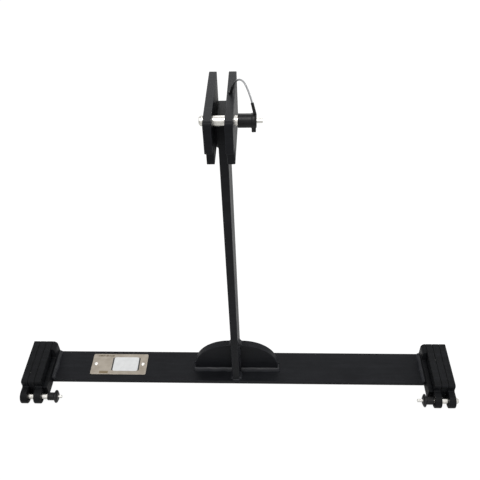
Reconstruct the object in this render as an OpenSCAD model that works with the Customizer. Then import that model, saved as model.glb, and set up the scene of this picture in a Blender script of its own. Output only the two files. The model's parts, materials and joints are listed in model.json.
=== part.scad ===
// Welded flat-bar stand with three pinned clevises.
// +X runs along the base bar, +Y to the rear, +Z up. The origin is on the floor, under the middle of the bar.

/* [Base bar] */
// Length of the base bar between the end brackets
bar_l = 536; // [360:1:900]
// Depth of the base bar, front to rear
bar_w = 50.8; // [46:0.2:60]
// Thickness of the base bar
bar_t = 6.35; // [5:0.05:9]

/* [Post] */
// Thickness of the post across its edge
post_t = 9.5; // [7:0.1:12]
// Depth of the post, front to rear
post_w = 48; // [40:0.5:52]
// Height of the post's top above the floor
post_top = 411; // [200:1:800]

/* [Gussets] */
// Leg of each quarter-round gusset, along the bar and up the post
gusset_leg = 55.5; // [40:0.5:90]
// Radius of the gussets' outer arc
gusset_r = 50.8; // [20:0.1:53]
// Thickness of the gussets
gusset_t = 9.5; // [6:0.1:12]

/* [Top clevis] */
// Thickness of each top ear
ear_t = 7.8; // [6:0.1:12]
// Clear gap between the top ears
ear_gap = 12; // [11:0.1:20]
// Height of the top ears, from the post's top up
ear_h = 55; // [48:0.5:70]
// Reach of the top ears ahead of the bar's centre line
ear_reach = 70.5; // [64:0.5:90]
// Radius of the ears' upper front corner
ear_corner_r = 4; // [4:0.5:14]
// Length of the step under the ears' nose
ear_step_l = 14; // [6:0.5:20]
// Height of the step under the ears' nose
ear_step_h = 21.5; // [10:0.5:24]
// Height of the web between the top ears
web_h = 22; // [10:0.5:26]
// Distance of the top pin ahead of the bar's centre line
top_pin_ahead = 49.5; // [44:0.5:54]
// Depth of the top pin below the ears' top
top_pin_drop = 10.5; // [9:0.5:16]

/* [End clevises] */
// Thickness of each end ear
end_ear_t = 9.5; // [7:0.1:12]
// Clear gap between the end ears
end_gap = 9.5; // [8:0.1:16]
// Height of the end brackets
end_h = 30.6; // [26:0.2:40]
// How far the end brackets' block stands ahead of the bar's centre line
end_block_front = 47.2; // [40:0.2:50]
// Radius of the end brackets' upper front edge
end_edge_r = 4; // [1:0.5:8]
// Radius of the round nose of each end ear
end_nose_r = 10; // [9.2:0.1:12]
// Distance of the end pins ahead of the bar's centre line
end_pin_ahead = 56.5; // [55:0.1:64]
// Thickness of the liner plate that joins each bracket to the bar
liner_t = 6.3; // [4:0.1:9]
// Height of the liner plate ahead of its rear lug
liner_low_h = 18; // [12:0.5:22]
// Length of the liner's rear lug
liner_lug_l = 15; // [10:0.5:20]

/* [Welds] */
// Leg of the main fillet welds
weld_leg = 4.5; // [3:0.1:6]
// Leg of the light fillet welds
weld_light = 2.4; // [1.5:0.1:2.6]

/* [Data plate] */
// Length of the riveted data plate
plate_l = 82; // [60:1:100]
// Width of the riveted data plate
plate_w = 36; // [28:0.5:40]
// Thickness of the riveted data plate
plate_t = 0.8; // [0.5:0.1:1.5]
// Gap between the data plate and the bar's left end
plate_from_end = 53; // [20:0.5:70]
// How far the data plate sits behind the bar's centre line
plate_back = 2; // [0:0.1:4]
// Length of the blank label on the plate
label_l = 37; // [20:0.5:50]
// Width of the blank label on the plate
label_w = 24.4; // [14:0.2:26]
// Thickness of the blank label
label_t = 0.2; // [0.1:0.05:0.4]
// Diameter of the rivet heads
rivet_head_d = 5.4; // [4:0.1:7]

/* [Pins] */
// Diameter of the top pin's shank
top_pin_d = 9.5; // [8.6:0.1:11]
// Diameter of the end pins' shanks
end_pin_d = 7.9; // [7.5:0.1:9]
// Radial clearance of the shanks in the ears
pin_clear = 0.1; // [0.08:0.01:0.2]
// How far each shank's tip stands past the far ear
tip_out = 5; // [5:0.1:9]
// Length of the top handle's neck
top_neck_l = 12; // [9:0.1:16]
// Length of the end handles' necks
end_neck_l = 9.2; // [9:0.1:16]
// Diameter of the top handle's neck
top_neck_d = 13.2; // [11.6:0.1:14]
// Diameter of the end handles' necks
end_neck_d = 11; // [10.4:0.1:14]
// Diameter of the top handle's collar
top_collar_d = 14.6; // [14:0.1:18.6]
// Drop of the top handle's lanyard lug, from the pin's axis to the middle of its round end
top_lug_drop = 7.6; // [6:0.1:9]
// Diameter of the end handles' flanges
flange_d = 18; // [15:0.1:18.6]
// Thickness of the handles' flanges and collar
flange_t = 5.4; // [4.4:0.1:8]
// Gap left between the top handle and its ear
top_seat = 3.4; // [0.5:0.1:6]
// Gap left between the end handles and their ears
end_seat = 0.8; // [0.5:0.1:4]
// How far the top button stands out of its handle when released
top_button_out = 5.8; // [4:0.1:10]
// How far the end buttons stand out of their handles when released
end_button_out = 7.3; // [4:0.1:10]
// Full press of a button
button_travel = 2; // [1.6:0.1:2.2]
// How far the left pin stands drawn out of its bracket
left_drawn = 8.2; // [0:0.1:9]
// How far the left button is held down by its balls in the bore
left_held = 2; // [0:0.1:2]

/* [Lanyard] */
// Diameter of the wire lanyard
wire_d = 1.8; // [1:0.1:2]
// Diameter of the lanyard's end sleeves
sleeve_d = 2.9; // [2.2:0.1:4]

/* [Hidden] */

$fn = 64;
eps = 0.02;                    // how far a cutting shape runs past the face it cuts
rear = bar_w / 2;              // plane that the rear faces share
post_front = rear - post_w;
ear_bottom = post_top;
ear_top = ear_bottom + ear_h;
ear_step_z = ear_bottom + ear_step_h;
top_out_x = ear_gap / 2 + ear_t;
top_pin_z = ear_top - top_pin_drop;
end_in_x = bar_l / 2 + liner_t;
end_gap_in_x = end_in_x + end_ear_t;
end_gap_out_x = end_gap_in_x + end_gap;
end_out_x = end_gap_out_x + end_ear_t;
end_pin_z = end_nose_r;
end_step_fillet = 1.5;
liner_slope_l = 5;             // run of the slope from the liner's lug down to its low part
rivet_inset = 6;               // rivet centre in from the plate's end
label_off = 9.6;               // label's middle from the plate's middle
rivet_hole_r = 1.6;
rivet_shank_r = 1.55;
rivet_depth = 4;
rivet_head_h = 1.3;

// Pin mechanism. Each pin is drawn along +Z with its handle's seat face at 0 and its tip below.
ball_share = 0.32;             // ball radius as a share of the shank's radius
ball_crown = 0.05;             // released ball's height above the shank, inside the ears' bore clearance
ball_travel = 0.5;             // inward travel of a ball at full press
ball_gap = 0.1;                // ball on the spindle
ball_hole_gap = 0.08;          // ball in its cross hole
bore_gap = 0.1;                // spindle in the shank's bore
bore_floor = 0.7;                // solid tip left below the shank's bore
tip_chamfer = 1.4;
ball_past_ear = 1.8;           // ball centre past the far ear's face
shank_in_handle = 5;
spring_wire_d = 0.7;
spring_turns = 5;
spring_len = 4.2;
button_wall = 0.75;            // button's radius over its spindle's
button_chamfer = 0.6;
chamber_gap = 0.05;            // button in its handle
lug_r = 3.3;
lug_t = 4;
lug_turn = 20;                 // lug's lean ahead of straight down

function ball_r(d) = ball_share * d / 2;
function ball_rest(d) = d / 2 + ball_crown - ball_r(d);
function spindle_r(d) = ball_rest(d) - ball_r(d) - ball_gap;
function button_r(d) = spindle_r(d) + button_wall;

// Where each pin's handle seats, and how long its shank is below that face
top_len = top_seat + 2 * ear_t + ear_gap + tip_out;
end_len = end_seat + 2 * end_ear_t + end_gap + tip_out;
top_face = top_neck_l + flange_t + top_button_out;
end_face = end_neck_l + flange_t + end_button_out;
top_origin = [top_out_x + top_seat, -top_pin_ahead, top_pin_z];
right_origin = [end_in_x - end_seat, -end_pin_ahead, end_pin_z];
left_origin = [-end_in_x + end_seat + left_drawn, -end_pin_ahead, end_pin_z];
ball_from_tip = tip_out - ball_past_ear;

// Lanyard route, chosen by hand: out of the ear sleeve, over in one arch and down to the handle's flange.
// Each sleeve lies on the line of the wire's own end.
anchor = [9.6, -18, ear_top];
anchor_r = 2;
anchor_h = 1.6;
ear_sleeve = [[10, -18.6, ear_top + 1], [12.5, -20.6, ear_top + 9]];
pin_sleeve = [[33.2, -50.3, ear_top - 3.4], [30.6, -46.8, ear_top + 6.5]];
wire_route = [ear_sleeve[1],
    [13.25, -21.2, ear_top + 11.4], [14.5, -22.7, ear_top + 14], [15.8, -24.3, ear_top + 16.2],
    [17.1, -26, ear_top + 18], [18.6, -28, ear_top + 19.5], [20.2, -30.3, ear_top + 20.5],
    [21.8, -32.8, ear_top + 20.8], [23.4, -35.2, ear_top + 20.2], [24.8, -37.5, ear_top + 18.9],
    [26.1, -39.6, ear_top + 17.1], [27.3, -41.5, ear_top + 15.1], [28.3, -43.2, ear_top + 13],
    [29.2, -44.7, ear_top + 10.9], [30, -46, ear_top + 8.75], pin_sleeve[1]];

// ---------- shared shapes ----------

function unit(v) = v / norm(v);

// Plane of a ring at point i of a route: two directions square to the route
function ring_axes(route, i, side) =
    let (last = len(route) - 1,
         along = unit(route[min(i + 1, last)] - route[max(i - 1, 0)]),
         across = unit(cross(along, side)))
    [across, cross(along, across)];

// One closed tube of n sides along a route
module tube(route, r, n, side) {
    last = len(route) - 1;
    points = [for (i = [0:last]) let (a = ring_axes(route, i, side))
        for (k = [0:n - 1]) route[i] + r * (cos(360 * k / n) * a[0] + sin(360 * k / n) * a[1])];
    walls = [for (i = [0:last - 1]) for (k = [0:n - 1])
        let (a = i * n + k, b = i * n + (k + 1) % n)
        each [[a, b, b + n], [a, b + n, a + n]]];
    start_cap = [for (k = [1:n - 2]) [0, k + 1, k]];
    end_cap = [for (k = [1:n - 2]) [last * n, last * n + k, last * n + k + 1]];
    polyhedron(points, concat(walls, start_cap, end_cap));
}

// A profile drawn in Y and Z, extruded along X from x0 by t
module plate_x(x0, t) {
    translate([x0, 0, 0]) rotate([90, 0, 90]) linear_extrude(t) children();
}

// Fillet weld with its corner on the X axis: legs along +Y and +Z
module fillet(leg, l) {
    rotate([90, 0, 90]) linear_extrude(l) polygon([[0, 0], [leg, 0], [0, leg]]);
}

module both_sides() {
    children();
    mirror([1, 0, 0]) children();
}

// ---------- base and post ----------

module base_bar() {
    color("#26272a") difference() {
        translate([-bar_l / 2, -bar_w / 2, 0]) cube([bar_l, bar_w, bar_t]);
        for (x = rivet_xs()) translate([x, plate_back, bar_t - rivet_depth])
            cylinder(r = rivet_hole_r, h = rivet_depth + eps);
    }
}

module post() {
    color("#26272a") translate([-post_t / 2, post_front, bar_t]) cube([post_t, post_w, post_top - bar_t]);
}

module gusset() {
    straight = gusset_leg - gusset_r;
    color("#26272a") translate([post_t / 2, gusset_t / 2, bar_t]) rotate([90, 0, 0]) linear_extrude(gusset_t)
        union() {
            square([gusset_leg, straight]);
            square([straight, gusset_leg]);
            translate([straight, straight]) intersection() {
                circle(gusset_r, $fn = 128);
                square(gusset_r);
            }
        }
}

module gusset_right() gusset();
module gusset_left() mirror([1, 0, 0]) gusset();

// Two floor beads, two upright beads and one top bead on each gusset
module gusset_welds() {
    bead_top = bar_t + gusset_leg;
    color("#303134") both_sides() {
        for (face = [-1, 1]) scale_y(face) {
            translate([post_t / 2, gusset_t / 2, bar_t]) fillet(weld_leg, gusset_leg + weld_light);
            translate([post_t / 2, gusset_t / 2, bar_t + weld_leg])
                linear_extrude(gusset_leg - weld_leg) polygon([[0, 0], [weld_light, 0], [0, weld_light]]);
        }
        translate([post_t / 2, gusset_t / 2, bead_top]) rotate([90, 0, 0]) linear_extrude(gusset_t)
            polygon([[0, 0], [gusset_leg - gusset_r + 1, 0], [0, weld_leg + 1]]);
    }
}

module scale_y(face) {
    if (face > 0) children();
    else mirror([0, 1, 0]) children();
}

// Beads on the post's two sides, ahead of and behind the gussets, and one across its front
module post_foot_weld() {
    clear = gusset_t / 2 + weld_leg;
    color("#303134") {
        both_sides() for (y = [[post_front, -clear], [clear, rear]])
            translate([post_t / 2, y[1], bar_t]) rotate([90, 0, 0]) linear_extrude(y[1] - y[0])
                polygon([[0, 0], [weld_leg, 0], [0, weld_leg]]);
        translate([-post_t / 2, post_front, bar_t]) mirror([0, 1, 0]) fillet(weld_light, post_t);
    }
}

// Beads that join the ears' undersides to the post's sides
module post_head_weld() {
    reach = ear_gap / 2 - post_t / 2 + weld_leg;
    color("#303134") both_sides() translate([post_t / 2, rear, post_top]) rotate([90, 0, 0])
        linear_extrude(post_w) polygon([[0, 0], [reach, 0], [0, -weld_leg - 1]]);
}

// ---------- top clevis ----------

module ear_profile() {
    nose_y = -ear_reach + ear_corner_r;
    difference() {
        union() {
            translate([nose_y, ear_step_z]) square([rear - nose_y, ear_top - ear_step_z]);
            translate([-ear_reach, ear_step_z]) square([ear_corner_r + eps, ear_top - ear_corner_r - ear_step_z]);
            translate([nose_y, ear_top - ear_corner_r]) circle(ear_corner_r);
            translate([-ear_reach + ear_step_l, ear_bottom])
                square([rear + ear_reach - ear_step_l, ear_step_h + eps]);
        }
        translate([-top_pin_ahead, top_pin_z]) circle(top_pin_d / 2 + pin_clear);
    }
}

module top_ear_right() { color("#26272a") plate_x(ear_gap / 2, ear_t) ear_profile(); }
module top_ear_left() { color("#26272a") plate_x(-top_out_x, ear_t) ear_profile(); }

module top_web() {
    color("#26272a") translate([-ear_gap / 2, post_front, post_top]) cube([ear_gap, post_w, web_h]);
}

// ---------- end clevises ----------

// Side outline of the end brackets' block, its upper front edge rounded
module block_profile() {
    r = end_edge_r;
    translate([-end_block_front, 0]) square([rear + end_block_front, end_h - r]);
    translate([r - end_block_front, 0]) square([rear + end_block_front - r, end_h]);
    translate([r - end_block_front, end_h - r]) circle(r);
}

module end_ear_profile() {
    f = end_step_fillet;
    difference() {
        union() {
            block_profile();
            translate([-end_pin_ahead, 0]) square([end_pin_ahead - end_block_front + eps, 2 * end_nose_r]);
            translate([-end_pin_ahead, end_pin_z]) circle(end_nose_r);
            translate([-end_block_front - f, 2 * end_nose_r - eps]) difference() {
                square([f + eps, f + eps]);
                translate([0, f + eps]) circle(f);
            }
        }
        translate([-end_pin_ahead, end_pin_z]) circle(end_pin_d / 2 + pin_clear);
    }
}

// Low plate with a taller lug at its rear, whose inner top edge is one quarter round as deep as the plate is thick
module liner_profile() {
    lug_y = rear - liner_lug_l;
    polygon([[-end_block_front, 0], [rear, 0], [rear, end_h], [lug_y, end_h],
        [lug_y - liner_slope_l, liner_low_h], [-end_block_front, liner_low_h]]);
}

module liner() {
    color("#2b2c2f") intersection() {
        plate_x(bar_l / 2, liner_t) liner_profile();
        translate([bar_l / 2, rear + eps, 0]) rotate([90, 0, 0]) linear_extrude(rear + end_block_front + 2 * eps)
            union() {
                square([liner_t + eps, end_h - liner_t]);
                translate([liner_t, end_h - liner_t]) circle(liner_t);
            }
    }
}
module inner_ear() { color("#26272a") plate_x(end_in_x, end_ear_t) end_ear_profile(); }
module block() { color("#26272a") plate_x(end_gap_in_x, end_gap) block_profile(); }
module outer_ear() { color("#26272a") plate_x(end_gap_out_x, end_ear_t) end_ear_profile(); }

// Bead along the top of the bar's end
module bar_weld() {
    color("#303134") translate([bar_l / 2, rear, bar_t]) rotate([90, 0, 0]) linear_extrude(bar_w)
        polygon([[0, 0], [-weld_leg, 0], [0, weld_leg]]);
}

module right_liner() liner();
module right_inner_ear() inner_ear();
module right_block() block();
module right_outer_ear() outer_ear();
module right_bar_weld() bar_weld();
module left_liner() mirror([1, 0, 0]) liner();
module left_inner_ear() mirror([1, 0, 0]) inner_ear();
module left_block() mirror([1, 0, 0]) block();
module left_outer_ear() mirror([1, 0, 0]) outer_ear();
module left_bar_weld() mirror([1, 0, 0]) bar_weld();

// ---------- data plate ----------

function plate_mid() = -bar_l / 2 + plate_from_end + plate_l / 2;
function rivet_xs() = [for (side = [-1, 1]) plate_mid() + side * (plate_l / 2 - rivet_inset)];

module data_plate() {
    color("#b3aa9b") difference() {
        translate([plate_mid() - plate_l / 2, plate_back - plate_w / 2, bar_t]) cube([plate_l, plate_w, plate_t]);
        for (x = rivet_xs()) translate([x, plate_back, bar_t - eps]) cylinder(r = rivet_hole_r, h = plate_t + 2 * eps);
    }
}

module plate_rivets() {
    dome_r = (pow(rivet_head_d / 2, 2) + pow(rivet_head_h, 2)) / (2 * rivet_head_h);
    seat = bar_t + plate_t;
    color("#d8d8d6") for (x = rivet_xs()) translate([x, plate_back, 0]) {
        translate([0, 0, bar_t - rivet_depth]) cylinder(r = rivet_shank_r, h = rivet_depth + plate_t + eps);
        intersection() {
            translate([0, 0, seat + rivet_head_h - dome_r]) sphere(dome_r);
            translate([0, 0, seat]) cylinder(d = rivet_head_d, h = rivet_head_h + eps);
        }
    }
}

module blank_label() {
    r = 2;
    color("#f2f2f0") translate([plate_mid() + label_off, plate_back, bar_t + plate_t]) linear_extrude(label_t) {
        square([label_l, label_w - 2 * r], center = true);
        square([label_l - 2 * r, label_w], center = true);
        for (x = [-1, 1], y = [-1, 1]) translate([x * (label_l / 2 - r), y * (label_w / 2 - r)]) circle(r);
    }
}

// ---------- quick-release pins ----------

// Hollow shank, drilled from the handle end, with a cross hole for the two balls
module shank(d, l) {
    color("#c9cbcc") difference() {
        union() {
            translate([0, 0, tip_chamfer - l]) cylinder(d = d, h = l - tip_chamfer + shank_in_handle);
            translate([0, 0, -l]) cylinder(d1 = d - 2 * tip_chamfer, d2 = d, h = tip_chamfer + eps);
        }
        translate([0, 0, bore_floor - l]) cylinder(r = spindle_r(d) + bore_gap, h = l + shank_in_handle);
        translate([0, -d, ball_from_tip - l]) rotate([-90, 0, 0])
            cylinder(r = ball_r(d) + ball_hole_gap, h = 2 * d);
    }
}

// Neck, double-coned rim and a chamber for the spring and button. lug is the lanyard lug's drop, 0 for none.
module handle(d, neck_d, neck_l, rim_d, lug) {
    cone = (flange_t - 1.4) / 2;
    color("#1b1b1d") difference() {
        union() {
            cylinder(d = neck_d, h = neck_l + cone);
            translate([0, 0, neck_l]) cylinder(d1 = neck_d, d2 = rim_d, h = cone);
            translate([0, 0, neck_l + cone]) cylinder(d = rim_d, h = flange_t - 2 * cone);
            translate([0, 0, neck_l + flange_t - cone]) cylinder(d1 = rim_d, d2 = neck_d, h = cone);
            if (lug > 0) translate([0, 0, neck_l + (flange_t - lug_t) / 2]) rotate([0, 0, -lug_turn])
                linear_extrude(lug_t) {
                    translate([-lug_r, -lug]) square([2 * lug_r, lug]);
                    translate([0, -lug]) circle(lug_r);
                }
        }
        translate([0, 0, -eps]) cylinder(d = d, h = shank_in_handle + eps);
        translate([0, 0, shank_in_handle - eps]) cylinder(r = button_r(d) + chamber_gap, h = neck_l + flange_t);
    }
}

// Button, collar and spindle in one piece. held is how far it stands pushed in, top where its face stands released.
module button(d, l, top, held) {
    r = spindle_r(d);
    groove_r = r - ball_travel - eps;
    ball_z = ball_from_tip - l;
    ramp_end = ball_z + button_travel;
    groove_end = ramp_end + ball_r(d) + ball_gap;
    collar_z = shank_in_handle + spring_len + button_travel + 0.1;
    color("#d2d3d4") translate([0, 0, -held]) {
        translate([0, 0, collar_z]) cylinder(r = button_r(d), h = top - button_chamfer - collar_z);
        translate([0, 0, top - button_chamfer])
            cylinder(r1 = button_r(d), r2 = button_r(d) - button_chamfer, h = button_chamfer);
        translate([0, 0, groove_end]) cylinder(r = r, h = collar_z - groove_end + eps);
        translate([0, 0, ramp_end]) cylinder(r = groove_r, h = groove_end - ramp_end + eps);
        translate([0, 0, ball_z]) cylinder(r1 = r, r2 = groove_r, h = button_travel + eps);
        translate([0, 0, ball_z - 0.3]) cylinder(r = r, h = 0.3 + eps);
    }
}

// Return spring between the shank's end and the button's collar, drawn at its shortest
module spring(d) {
    mean_r = spindle_r(d) + spring_wire_d / 2 + 0.12;
    steps = 8 * spring_turns;
    start_z = shank_in_handle + spring_wire_d / 2 + 0.05;
    rise = spring_len - spring_wire_d - 0.1;
    route = [for (i = [0:steps]) [mean_r * cos(45 * i), mean_r * sin(45 * i), start_z + rise * i / steps]];
    color("#8f9294") tube(route, spring_wire_d / 2, 6, [0, 0, 1]);
}

// One locking ball. held is how far the button that lets it in stands pushed, side is 1 above and -1 below.
module ball(d, l, held, side) {
    drop = ball_travel * held / button_travel;
    color("#b8babb") translate([0, side * (ball_rest(d) - drop), ball_from_tip - l]) sphere(ball_r(d));
}

// Lays a pin down: its handle towards +X, its balls above and below
module towards_right(place) { translate(place) rotate([90, 0, 90]) children(); }
module towards_left(place) { translate(place) mirror([1, 0, 0]) rotate([90, 0, 90]) children(); }

module top_pin_shank() towards_right(top_origin) shank(top_pin_d, top_len);
module top_pin_handle() towards_right(top_origin)
    handle(top_pin_d, top_neck_d, top_neck_l, top_collar_d, top_lug_drop);
module top_pin_button() towards_right(top_origin) button(top_pin_d, top_len, top_face, 0);
module top_pin_spring() towards_right(top_origin) spring(top_pin_d);
module top_pin_ball_upper() towards_right(top_origin) ball(top_pin_d, top_len, 0, 1);
module top_pin_ball_lower() towards_right(top_origin) ball(top_pin_d, top_len, 0, -1);

module left_pin_shank() towards_right(left_origin) shank(end_pin_d, end_len);
module left_pin_handle() towards_right(left_origin)
    handle(end_pin_d, end_neck_d, end_neck_l, flange_d, 0);
module left_pin_button() towards_right(left_origin) button(end_pin_d, end_len, end_face, left_held);
module left_pin_spring() towards_right(left_origin) spring(end_pin_d);
module left_pin_ball_upper() towards_right(left_origin) ball(end_pin_d, end_len, left_held, 1);
module left_pin_ball_lower() towards_right(left_origin) ball(end_pin_d, end_len, left_held, -1);

module right_pin_shank() towards_left(right_origin) shank(end_pin_d, end_len);
module right_pin_handle() towards_left(right_origin)
    handle(end_pin_d, end_neck_d, end_neck_l, flange_d, 0);
module right_pin_button() towards_left(right_origin) button(end_pin_d, end_len, end_face, 0);
module right_pin_spring() towards_left(right_origin) spring(end_pin_d);
module right_pin_ball_upper() towards_left(right_origin) ball(end_pin_d, end_len, 0, 1);
module right_pin_ball_lower() towards_left(right_origin) ball(end_pin_d, end_len, 0, -1);

// ---------- lanyard ----------

module rod_between(a, b, r) {
    v = b - a;
    translate(a) rotate([0, acos(v[2] / norm(v)), atan2(v[1], v[0])]) cylinder(r = r, h = norm(v), $fn = 24);
}

module lanyard_anchor() { color("#8f9294") translate(anchor) cylinder(r = anchor_r, h = anchor_h); }
module lanyard_ear_sleeve() { color("#1b1b1d") rod_between(ear_sleeve[0], ear_sleeve[1], sleeve_d / 2); }
module lanyard_pin_sleeve() { color("#1b1b1d") rod_between(pin_sleeve[0], pin_sleeve[1], sleeve_d / 2); }
module lanyard_wire() { color("#a9abac") tube(wire_route, wire_d / 2, 8, [0.8, 0.6, 0]); }

base_bar();
post();
gusset_left();
gusset_right();
gusset_welds();
post_foot_weld();
post_head_weld();
top_ear_left();
top_ear_right();
top_web();
left_liner();
left_inner_ear();
left_block();
left_outer_ear();
left_bar_weld();
right_liner();
right_inner_ear();
right_block();
right_outer_ear();
right_bar_weld();
data_plate();
plate_rivets();
blank_label();
top_pin_shank();
top_pin_handle();
top_pin_button();
top_pin_spring();
top_pin_ball_upper();
top_pin_ball_lower();
left_pin_shank();
left_pin_handle();
left_pin_button();
left_pin_spring();
left_pin_ball_upper();
left_pin_ball_lower();
right_pin_shank();
right_pin_handle();
right_pin_button();
right_pin_spring();
right_pin_ball_upper();
right_pin_ball_lower();
lanyard_anchor();
lanyard_ear_sleeve();
lanyard_wire();
lanyard_pin_sleeve();
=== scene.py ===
import bmesh
import bpy
import json
import math
import random
from mathutils import Matrix, Vector
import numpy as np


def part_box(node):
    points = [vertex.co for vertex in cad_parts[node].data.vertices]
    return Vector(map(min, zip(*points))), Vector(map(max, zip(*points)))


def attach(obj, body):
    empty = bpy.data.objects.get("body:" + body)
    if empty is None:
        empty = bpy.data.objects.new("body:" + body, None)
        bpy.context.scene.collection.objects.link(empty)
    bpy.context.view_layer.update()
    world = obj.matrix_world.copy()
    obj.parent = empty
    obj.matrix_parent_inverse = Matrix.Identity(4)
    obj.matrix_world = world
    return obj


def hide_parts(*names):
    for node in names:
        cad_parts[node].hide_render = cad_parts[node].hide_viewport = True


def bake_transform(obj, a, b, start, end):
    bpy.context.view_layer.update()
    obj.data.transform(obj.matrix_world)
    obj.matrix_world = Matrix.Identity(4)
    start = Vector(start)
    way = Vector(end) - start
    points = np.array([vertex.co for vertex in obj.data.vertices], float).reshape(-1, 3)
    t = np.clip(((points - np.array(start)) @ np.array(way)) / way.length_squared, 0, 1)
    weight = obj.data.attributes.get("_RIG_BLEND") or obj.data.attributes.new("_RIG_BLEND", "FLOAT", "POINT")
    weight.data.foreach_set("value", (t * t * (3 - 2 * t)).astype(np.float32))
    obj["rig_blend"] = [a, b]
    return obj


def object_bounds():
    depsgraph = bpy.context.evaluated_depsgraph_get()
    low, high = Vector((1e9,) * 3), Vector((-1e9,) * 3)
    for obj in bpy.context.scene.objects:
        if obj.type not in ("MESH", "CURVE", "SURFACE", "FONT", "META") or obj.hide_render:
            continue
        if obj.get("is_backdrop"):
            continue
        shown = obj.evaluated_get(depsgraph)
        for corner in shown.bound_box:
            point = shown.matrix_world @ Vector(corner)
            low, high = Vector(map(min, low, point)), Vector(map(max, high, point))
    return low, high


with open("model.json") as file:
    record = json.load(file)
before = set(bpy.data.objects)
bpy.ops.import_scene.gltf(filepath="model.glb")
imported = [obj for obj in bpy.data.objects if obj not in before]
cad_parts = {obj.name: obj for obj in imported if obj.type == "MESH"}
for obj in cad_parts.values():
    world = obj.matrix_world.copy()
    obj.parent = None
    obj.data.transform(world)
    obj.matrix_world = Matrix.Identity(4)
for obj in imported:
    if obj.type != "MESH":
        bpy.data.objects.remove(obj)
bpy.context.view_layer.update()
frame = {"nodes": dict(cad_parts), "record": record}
MM = 0.001
body_of_node = {}
for body_name, members in frame["record"]["behaviour"]["bodies"].items():
    for member in members:
        body_of_node[member] = body_name
scene = bpy.context.scene


def mm(x, y, z):
    return Vector((x * MM, y * MM, z * MM))


# ---------- camera: ahead of the stand and a little to its right, looking down over the bar ----------

def place_camera(position, pitch_down, yaw, roll, lens):
    a, b, c = (math.radians(v) for v in (pitch_down, yaw, roll))
    forward = Vector((-math.sin(b) * math.cos(a), math.cos(b) * math.cos(a), -math.sin(a)))
    level = Vector((math.cos(b), math.sin(b), 0))
    upright = level.cross(forward)
    right = math.cos(c) * level + math.sin(c) * upright
    up = -math.sin(c) * level + math.cos(c) * upright
    data = bpy.data.cameras.new("camera")
    data.lens = lens
    data.sensor_width = 36
    camera = bpy.data.objects.new("camera", data)
    scene.collection.objects.link(camera)
    turn = Matrix((right, up, -forward)).transposed().to_4x4()
    camera.matrix_world = Matrix.Translation(position) @ turn
    scene.camera = camera


place_camera(mm(43.9, -544.4, 764.6), 42.79, 3.35, -2.25, 46.75)


# ---------- node helper, colours and mesh helpers ----------

def add(tree, kind, settings=None, sockets=None):
    """Adds one node. settings are its attributes, sockets its values or the outputs to link from."""
    node = tree.nodes.new(kind)
    for key, value in (settings or {}).items():
        setattr(node, key, value)
    for key, value in (sockets or {}).items():
        if isinstance(value, bpy.types.NodeSocket):
            tree.links.new(value, node.inputs[key])
        else:
            node.inputs[key].default_value = value
    return node


def srgb(code):
    """Linear colour of a hex code."""
    out = []
    for i in (0, 2, 4):
        v = int(code[i:i + 2], 16) / 255
        out.append(v / 12.92 if v <= 0.04045 else ((v + 0.055) / 1.055) ** 2.4)
    return (*out, 1)


def dressed(piece, body, replaced):
    if replaced:
        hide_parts(*replaced)
    if body:
        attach(piece, body)
    return piece


def flat_weighted(data_mesh, name):
    """The mesh again with normals weighted by face area: large flats stay flat beside their rounded edges."""
    temp = bpy.data.objects.new(name, data_mesh)
    scene.collection.objects.link(temp)
    weigh = temp.modifiers.new("weigh", "WEIGHTED_NORMAL")
    weigh.keep_sharp = True
    weigh.weight = 90
    dg = bpy.context.evaluated_depsgraph_get()
    out = bpy.data.meshes.new_from_object(temp.evaluated_get(dg), preserve_all_data_layers=True, depsgraph=dg)
    bpy.data.objects.remove(temp)
    return out


def rounded_copy(node, material, width, segments=2, name=None, clamp=False):
    """A copy of a CAD node with its sharp edges rounded. The rounded faces are marked, for the paint's wear and
    for the painted highlight and shade on its edges.
    """
    bm = bmesh.new()
    bm.from_mesh(frame["nodes"][node].data)
    bmesh.ops.remove_doubles(bm, verts=bm.verts, dist=2e-6)
    bmesh.ops.dissolve_limit(bm, angle_limit=math.radians(0.6), verts=bm.verts, edges=bm.edges,
                             use_dissolve_boundaries=False)
    sharp = [e for e in bm.edges if len(e.link_faces) == 2 and e.calc_face_angle() > math.radians(28)]
    mark = bm.faces.layers.float.new("edge")
    made = bmesh.ops.bevel(bm, geom=sharp, offset=width * MM, offset_type="OFFSET", profile_type="SUPERELLIPSE",
                           segments=segments, profile=0.5, affect="EDGES", clamp_overlap=clamp, loop_slide=True)
    for face in made["faces"]:
        face[mark] = 1.0
    bmesh.ops.recalc_face_normals(bm, faces=bm.faces)
    data = bpy.data.meshes.new(node)
    bm.to_mesh(data)
    bm.free()
    data.materials.append(material)
    data.shade_smooth()
    data.set_sharp_from_angle(angle=math.radians(50))
    name = name or node + "_piece"
    piece = bpy.data.objects.new(name, flat_weighted(data, name))
    scene.collection.objects.link(piece)
    return dressed(piece, body_of_node[node], [node])


# ---------- finishes ----------

def finish(name, metallic=0.0, roughness=0.5, **more):
    material = bpy.data.materials.new(name)
    material.use_nodes = True
    tree = material.node_tree
    surface = tree.nodes["Principled BSDF"]
    surface.inputs["Metallic"].default_value = metallic
    surface.inputs["Roughness"].default_value = roughness
    for key, value in more.items():
        surface.inputs[key.replace("_", " ")].default_value = value
    place = add(tree, "ShaderNodeTexCoord").outputs["Object"]
    return material, tree, surface, place


def grain(tree, place, size_mm, detail=2.0, stretch=(1, 1, 1), rough=0.5):
    """Noise with features of a real size. stretch draws it out along an axis."""
    scaled = add(tree, "ShaderNodeMapping", sockets={"Vector": place, "Scale": [1 / s for s in stretch]})
    return add(tree, "ShaderNodeTexNoise", sockets={
        "Vector": scaled.outputs[0], "Scale": 1 / (size_mm * MM), "Detail": detail, "Roughness": rough}).outputs[0]


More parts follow.
